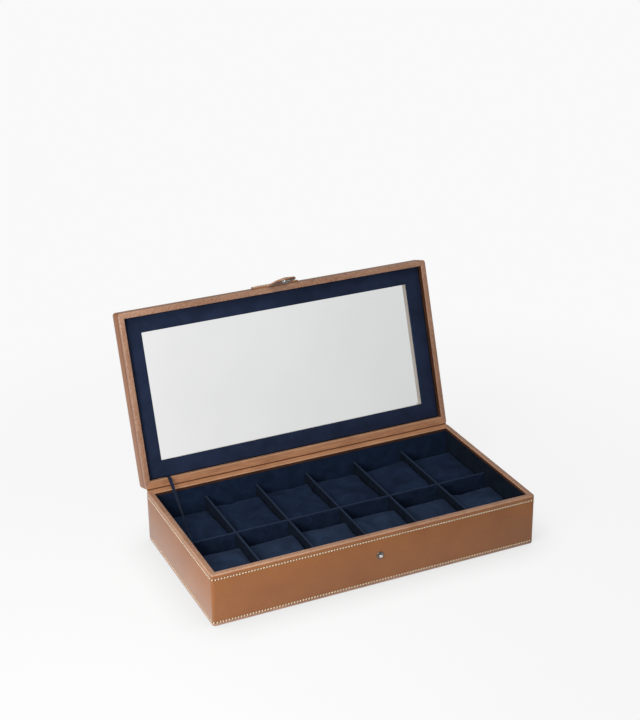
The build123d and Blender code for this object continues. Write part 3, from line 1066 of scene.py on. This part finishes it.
strip_end, strip_gap, strip_roll = 193.6 * mm, 0.15 * mm, 1.0 * mm
strip_low, strip_high = 63 * mm, 65 * mm
strip_profile = [
    (inner_back, base_top - turn_in),
    (inner_back, base_top),
    (rear_edge, base_top),
    *fold(lid_rim, 8),
    from_lid(lid_rear_edge, lid_rim),
    from_lid(lid_inner_back, lid_rim),
    from_lid(lid_inner_back, panel_level),
]
strip = drawn("hinge_leather_strip", strip_end, strip_profile, (0, -1, 0))
narrow = (inner_x - strip_gap) / strip_end
for ends in (
    lambda v: v.co.y < inner_back + 1e-6,
    lambda v: (shut @ v.co).y < lid_inner_back + 1e-6 and v.co.z > strip_high,
):
    pick("verts", ends)
    bpy.ops.transform.resize(value=(narrow, 1, 1), center_override=(0, 0, 0))
round_off(lambda m: m.z < strip_low and m.y < 95 * mm, strip_roll, 3)
round_off(lambda m: m.z > strip_high, strip_roll, 3)
thicken(strip)
close(strip, highlit_strip_calf)
folded_edges = (
    Vector((0, inner_back, base_top)),
    lid_open @ Vector((0, lid_inner_back, lid_rim)),
)
# Painted shade on the strip's leg down the base's inner wall.
trim(strip, shaded_calf, lambda m: m.z < base_top - edge_high)
# Painted highlight along the strip's folded edges.
trim(strip, edge_highlight_calf, lambda m: any((m - edge).yz.length < strip_roll for edge in folded_edges))
# Painted shade in the crease round the hinge line.
trim(strip, groove_shade_calf, lambda m: (m - hinge_line).yz.length < groove_half)
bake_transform(strip)
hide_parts("hinge_strip")


# Spine: the calf down the back of box and lid in one panel, with its fold round the hinge line.
# It meets the side leather at the back corners.
def clean(piece):
    """Takes out edges and faces of no size, which bevels can leave, and closes the piece."""
    if piece.mode != "EDIT":
        bpy.ops.object.mode_set(mode="EDIT")
    bpy.ops.mesh.select_all(action="SELECT")
    bpy.ops.mesh.dissolve_degenerate(threshold=2e-6)
    bpy.ops.object.mode_set(mode="OBJECT")


spine_outer, spine_foot = 101.5 * mm, base_foot + 0.3 * mm
spine_x, spine_thick = 191.5 * mm, 1.1 * mm
fold_radius = 2.45 * mm
start_angle = -math.degrees(math.acos((spine_outer - hinge_line.y) / fold_radius))
spine_profile = [
    (spine_outer, spine_foot),
    (spine_outer, lower_row),
    (spine_outer, 30 * mm),
    (spine_outer, upper_row),
    *fold(fold_radius, 10, start_angle, -108 - start_angle),
    from_lid(lid_high_y, lid_top - stitch_inset),
    from_lid(lid_high_y, spine_top),
]
spine = drawn("spine_leather_panel", spine_x, spine_profile, (0, 1, 0))
thicken(spine, spine_thick)
sharp = {"limit_method": "ANGLE", "angle_limit": math.radians(50)}
modify(spine, "BEVEL", width=0.3 * mm, segments=2, **sharp)
clean(spine)
close(spine, calf)
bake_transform(spine)
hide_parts("spine_leather")


# Closing strap: a doubled piece of calf 2.3 mm thick. Its wide end is stitched to the lid's front
# edge and its tongue folds below that. Its edges are rounded. It is painted lighter than the lid's
# calf, a painted sheen, and its underside is painted darker, as shade.
sheen_strap_calf = leather("tan_calf_strap_painted_sheen", "#845638", "#A87958")
front_edge = lid_open @ Matrix.Translation((0, lid_low_y, 0)) @ Matrix.Rotation(math.pi / 2, 4, "X")
patch_half, patch_low, patch_high = 28 * mm, 3.7 * mm, 19.2 * mm
patch_round, strap_roll = 6 * mm, 0.6 * mm
tongue_half, tongue_reach = 12 * mm, 28.8 * mm
tongue_end = 2 * mm - tongue_reach
tip_y = tongue_end - tongue_half
strap_thick = 2.3 * mm
strap_fold = Vector((0, 2, 1.2)) * mm
strap_lift = math.radians(12)
bend_levels = (2.6 * mm, 2.0 * mm, 1.4 * mm)

patch_size = (2 * patch_half, patch_high - patch_low, 1)
patch_middle = (0, (patch_low + patch_high) / 2, 0)
strap = primitive("plane", "closing_strap_leather", size=1, location=patch_middle)
bpy.ops.transform.resize(value=patch_size, center_override=patch_middle)
pick("verts", lambda v: v.co.y > patch_high - 1e-6)
bpy.ops.mesh.bevel(offset=patch_round, segments=6, affect="VERTICES")
for x in (-tongue_half, tongue_half):
    score((x, 0, 0), (1, 0, 0))
pick("edges", lambda e: abs(middle(e).y - patch_low) < 1e-6 and abs(middle(e).x) < tongue_half)
levels = [patch_low, 3.2 * mm, *bend_levels, 0.8 * mm, tongue_end, tip_y]
for before, after in zip(levels, levels[1:]):
    bpy.ops.mesh.extrude_region_move(TRANSFORM_OT_translate={"value": (0, after - before, 0)})
pick("verts", lambda v: v.co.y < tip_y + 1e-6)
bpy.ops.mesh.bevel(offset=tongue_half - 0.01 * mm, segments=10, affect="VERTICES")
bpy.ops.object.mode_set(mode="OBJECT")
modify(strap, "SOLIDIFY", thickness=strap_thick, offset=1)
modify(strap, "BEVEL", width=strap_roll, segments=3, **sharp)
bpy.ops.object.mode_set(mode="EDIT")
for level in bend_levels:
    pick("verts", lambda v: v.co.y < level - 1e-6)
    turn = strap_lift / len(bend_levels)
    bpy.ops.transform.rotate(value=turn, orient_axis="X", center_override=strap_fold)
clean(strap)
swing_open(strap, front_edge)
close(strap, sheen_strap_calf)
tongue_frame = (
    front_edge
    @ Matrix.Translation(strap_fold)
    @ Matrix.Rotation(-strap_lift, 4, "X")
    @ Matrix.Translation((0, -tongue_reach, 0))
)
tongue_flat = tongue_frame.inverted()


def under_tongue(m):
    """Whether a point lies on the tongue's underside."""
    flat = tongue_flat @ m
    return flat.z < -0.9 * mm and flat.y < 25 * mm


# Painted shade on the tongue's underside.
trim(strap, shaded_calf, under_tongue)
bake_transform(strap)
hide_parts("strap_anchor", "strap_tongue")


# Snap fastener: bright nickel-plated brass. The stud is riveted through the front wall, and the
# socket through the tongue under a domed cap. All are stampings, so each is spun about its own
# axis.
def turned(name, profile, frame, steps=40):
    """A ring or button spun from (radius, height) points, then put where its frame stands."""
    radius, height = profile[0]
    made = primitive("plane", name, size=2 * mm, location=(radius + 1 * mm, 1 * mm, height))
    pick("verts", lambda v: v.co.x > radius + 1 * mm or v.co.y > 1 * mm)
    bpy.ops.mesh.delete(type="VERT")
    bpy.ops.mesh.select_mode(type="VERT")
    bpy.ops.mesh.select_all(action="SELECT")
    for before, after in zip(profile, profile[1:]):
        step = (after[0] - before[0], 0, after[1] - before[1])
        bpy.ops.mesh.extrude_region_move(TRANSFORM_OT_translate={"value": step})
    bpy.ops.mesh.select_all(action="SELECT")
    bpy.ops.mesh.spin(steps=steps, angle=2 * math.pi, center=(0, 0, 0), axis=(0, 0, 1))
    bpy.ops.mesh.select_all(action="SELECT")
    bpy.ops.mesh.remove_doubles(threshold=1e-6)
    face_outward()
    swing_open(made, frame)
    return made


def in_mm(*points):
    """Points written in millimetres."""
    return [tuple(c * mm for c in point) for point in points]


def plated(name, dark, light):
    """Nickel plate with fine wear, drawn 1.5 mm wide so that it shows."""
    made, tree = new_material(name)
    where = add(tree, "ShaderNodeTexCoord").outputs["Object"]
    wear = add(tree, "ShaderNodeTexNoise", {"Vector": where, "Scale": 1000 / 1.5, "Detail": 3})
    gloss = add(
        tree, "ShaderNodeMapRange", {"Value": wear.outputs["Fac"], "To Min": 0.1, "To Max": 0.28}
    )
    tone = add(
        tree,
        "ShaderNodeMix",
        {0: wear.outputs["Fac"], 6: linear(dark), 7: linear(light)},
        data_type="RGBA",
    )
    skin = add(
        tree,
        "ShaderNodeBsdfPrincipled",
        {"Base Color": tone.outputs[2], "Metallic": 1.0, "Roughness": gloss.outputs[0]},
    )
    add(tree, "ShaderNodeOutputMaterial", {"Surface": skin.outputs[0]})
    return made


nickel = plated("bright_nickel_plate", "#C9C7C2", "#E2E1DE")
# A dark copy of the plate, painted dark reflection on the stud's flange and neck.
nickel_painted_dark_reflection = plated("nickel_painted_dark_reflection_plate", "#55524E", "#86827C")

stud_level = 35.6 * mm
stud_place = Matrix.Translation((0, -half_depth, stud_level))
stud_frame = stud_place @ Matrix.Rotation(math.pi / 2, 4, "X")
stud_profile = in_mm(
    (0, 2.8), (1.5, 2.8), (1.95, 2.6), (2.1, 2.25), (2.0, 1.9), (1.7, 1.6), (1.7, 0.7), (2.4, 0.55),
    (2.8, 0.35), (3.2, 0.45), (3.7, 0.75), (4.1, 0.7), (4.35, 0.4), (4.35, -0.2), (1.5, -0.2),
    (1.5, -5.4), (0, -5.4),
)
stud = turned("snap_stud_button", stud_profile, stud_frame)
close(stud, nickel, smooth=50)
from_stud = stud_frame.inverted()


def round_head(m):
    """Whether a point lies on the stud's flange or neck, round and below its head."""
    return (from_stud @ m).xy.length > 1.75 * mm and (from_stud @ m).z < 1.8 * mm


# Painted dark reflection on the flange and neck.
trim(stud, nickel_painted_dark_reflection, round_head)
settle(stud, "base", "snap_metal", "snap_stud")
dress(["stud_washer"], nickel)

socket_profile = in_mm(
    (2.5, -1.1), (2.5, -2.6), (2.75, -2.9), (3.2, -3.0), (3.6, -2.8), (3.9, -2.3), (4.3, -2.1),
    (4.9, -2.15), (5.25, -1.85), (5.3, -1.25), (5.1, -1.15), (2.5, -1.1),
)
socket = turned("snap_socket_ring", socket_profile, tongue_frame)
close(socket, nickel, smooth=50)
settle(socket, "strap", "snap_metal", "snap_socket")

cap_profile = in_mm(
    (0, 2.8), (2.4, 2.75), (4.2, 2.5), (5.4, 2.05), (5.9, 1.6), (5.95, 1.3), (5.7, 1.15),
    (3.0, 1.1), (3.0, -1.2), (2.5, -1.2), (2.5, 1.0), (0, 1.0),
)
cap = turned("snap_cap_button", cap_profile, tongue_frame)
close(cap, nickel, smooth=50)
settle(cap, "strap", "snap_metal", "snap_cap")


# Ribbon stay: navy satin ribbon 4 mm wide. It is glued to the lid's rear inner wall, runs down
# to the left wall of the box and turns flat against it, where a tab of the lining's suede holds
# it. Its ribs are drawn 0.9 mm apart, coarser than they are, so that they show.
satin, tree = new_material("navy_satin_ribbon")
where = add(tree, "ShaderNodeTexCoord").outputs["Object"]
ribs = add(
    tree,
    "ShaderNodeTexWave",
    {"Vector": where, "Scale": band_scale(0.9 * mm), "Distortion": 0.4},
    bands_direction="Y",
)
tone = add(
    tree,
    "ShaderNodeMix",
    {0: ribs.outputs["Fac"], 6: linear("#0C1322"), 7: linear("#1A2740")},
    data_type="RGBA",
)
skin = add(
    tree,
    "ShaderNodeBsdfPrincipled",
    {"Base Color": tone.outputs[2], "Roughness": 0.7, "Specular IOR Level": 0.3},
)
add(tree, "ShaderNodeOutputMaterial", {"Surface": skin.outputs[0]})

ribbon_width, ribbon_thick = 4 * mm, 0.35 * mm
ribbon_x, ribbon_y = -165.5 * mm, -9.25 * mm
ribbon_gone = Vector((-188.1, -42, 54)) * mm
ribbon_end = ribbon_gone + Vector((0, -5, -0.6)) * mm
ribbon_top = lid_open @ Vector((ribbon_x, ribbon_y, 7.8 * mm))
ribbon_turn = lid_open @ Vector((ribbon_x, ribbon_y, 0.2 * mm))
steps = 30
straight = [ribbon_turn.lerp(ribbon_gone, i / steps) for i in range(steps + 1)]
path = [(ribbon_top, 90), (ribbon_top.lerp(ribbon_turn, 0.5), 90)]
path += [(point, 90 * (1 - i / steps)) for i, point in enumerate(straight)]
path += [(ribbon_end, 0)]
bpy.ops.object.select_all(action="DESELECT")
bpy.ops.curve.primitive_nurbs_path_add(location=(0, 0, 0))
ribbon = bpy.context.object
ribbon.name = "ribbon_stay_satin"
ribbon.data.splines.clear()
line = ribbon.data.splines.new("POLY")
line.points.add(len(path) - 1)
for spot, (point, tilt) in zip(line.points, path):
    spot.co = (*point, 1)
    spot.tilt = math.radians(tilt)
ribbon.data.dimensions = "3D"
ribbon.data.twist_mode = "Z_UP"
ribbon.data.extrude = ribbon_width / 2
bpy.ops.object.convert(target="MESH")
ribbon = bpy.context.object
modify(ribbon, "SOLIDIFY", thickness=ribbon_thick, offset=0)
close(ribbon, satin)
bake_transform(ribbon)
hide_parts("ribbon_stay")
dress(["ribbon_tab"], wall_suede)


# Stitching: waxed cream thread, one slanting stitch every 3.4 mm along the drawn-in lines of the
# box, round the window and round the strap. One stitch is modelled, and every row is an array of
# it, joined into one piece for each part that it sews. The thread's twist shows in 0.6 mm specks.
thread = speckled("waxed_cream_thread", "#FFDDAE", "#FFF4D8", speck=0.6, detail=2, rough=0.6)
stitch_pitch = 3.4 * mm
stitch_size = (1.25 * mm, 0.62 * mm, 0.6 * mm)
stitch_slant = math.radians(48)
sunk = groove_deep - 0.22 * mm
row_rear = 97 * mm
end_x, end_front = half_width - 2.4 * mm, -half_depth + 2.4 * mm


def sewn(start, end, outward):
    """A row of stitches from one point to another on a surface that faces outward."""
    start, end, outward = Vector(start), Vector(end), Vector(outward)
    along = (end - start).normalized()
    across = outward.cross(along)
    count = int((end - start).length / stitch_pitch)
    spare = ((end - start).length - (count - 1) * stitch_pitch) / 2
    ball = {"segments": 6, "ring_count": 5, "radius": 1}
    made = primitive("uv_sphere", "stitch_row", **ball, scale=stitch_size)
    bpy.ops.mesh.select_all(action="SELECT")
    bpy.ops.transform.rotate(value=-stitch_slant, orient_axis="Z", center_override=(0, 0, 0))
    bpy.ops.object.mode_set(mode="OBJECT")
    repeat(made, count, stitch_pitch)
    frame = Matrix((along, across, outward)).transposed().to_4x4()
    frame.translation = start + along * spare
    swing_open(made, frame)
    return made


def sew(name, rows, place=None):
    """Joins rows of stitches into one piece of thread, and swings it open if it is on the lid."""
    first, *others = [sewn(*row) for row in rows]
    joined(first, *others)
    first.name = first.data.name = name
    swing_open(first, place or Matrix.Identity(4))
    close(first, thread, smooth=80)
    return first


def round_corner(side, level):
    """The one stitch that goes round an upright front corner."""
    outward = Vector((side, -1, 0)).normalized()
    centre = Vector((side * (half_width - corner), corner - half_depth, level))
    point = centre + outward * (corner - sunk)
    along = Vector((-outward.y, outward.x, 0)) * 0.6 * stitch_pitch
    return (point - along, point + along, outward)


base_rows = []
for z in stitch_rows:
    y, x = -half_depth + sunk, half_width - sunk
    base_rows.append(((-end_x, y, z), (end_x, y, z), (0, -1, 0)))
    base_rows.append(((-x, row_rear, z), (-x, end_front, z), (-1, 0, 0)))
    base_rows.append(((x, end_front, z), (x, row_rear, z), (1, 0, 0)))
    base_rows.append(((end_x, spine_outer, z), (-end_x, spine_outer, z), (0, 1, 0)))
    base_rows += [round_corner(side, z) for side in (-1, 1)]
base_thread = sew("base_stitching", base_rows)
settle(base_thread, "base", "outer_leather")


def on_top(lines, height):
    """Rows along lines in X and Y, on a surface at a height that faces up."""
    return [((*start, height), (*end, height), (0, 0, 1)) for start, end in lines]


window_edge = 5 * mm
side_x = window_x + window_edge
front_y, back_y = window_front - window_edge, window_back + window_edge
lid_lines = [((x, front_y), (x, back_y)) for x in (side_x, -side_x)]
lid_lines += [((-side_x, y), (side_x, y)) for y in (front_y, back_y)]
lid_thread = sew("lid_stitching", on_top(lid_lines, lid_top), lid_open)
settle(lid_thread, "lid", "outer_leather")

strap_edge, strap_corner = 2.2 * mm, 4 * mm
side_x, low_y, high_y = patch_half - strap_edge, patch_low + strap_edge, patch_high - strap_edge
turn_x, turn_y = side_x - strap_corner, high_y - strap_corner
strap_lines = [
    ((-side_x, low_y), (-side_x, turn_y)),
    ((side_x, turn_y), (side_x, low_y)),
    ((-turn_x, high_y), (turn_x, high_y)),
    ((-side_x, low_y), (side_x, low_y)),
    ((-turn_x, high_y), (-side_x, turn_y)),
    ((side_x, turn_y), (turn_x, high_y)),
]
strap_thread = sew("strap_stitching", on_top(strap_lines, strap_thick), front_edge)
settle(strap_thread, "lid", "strap_leather")
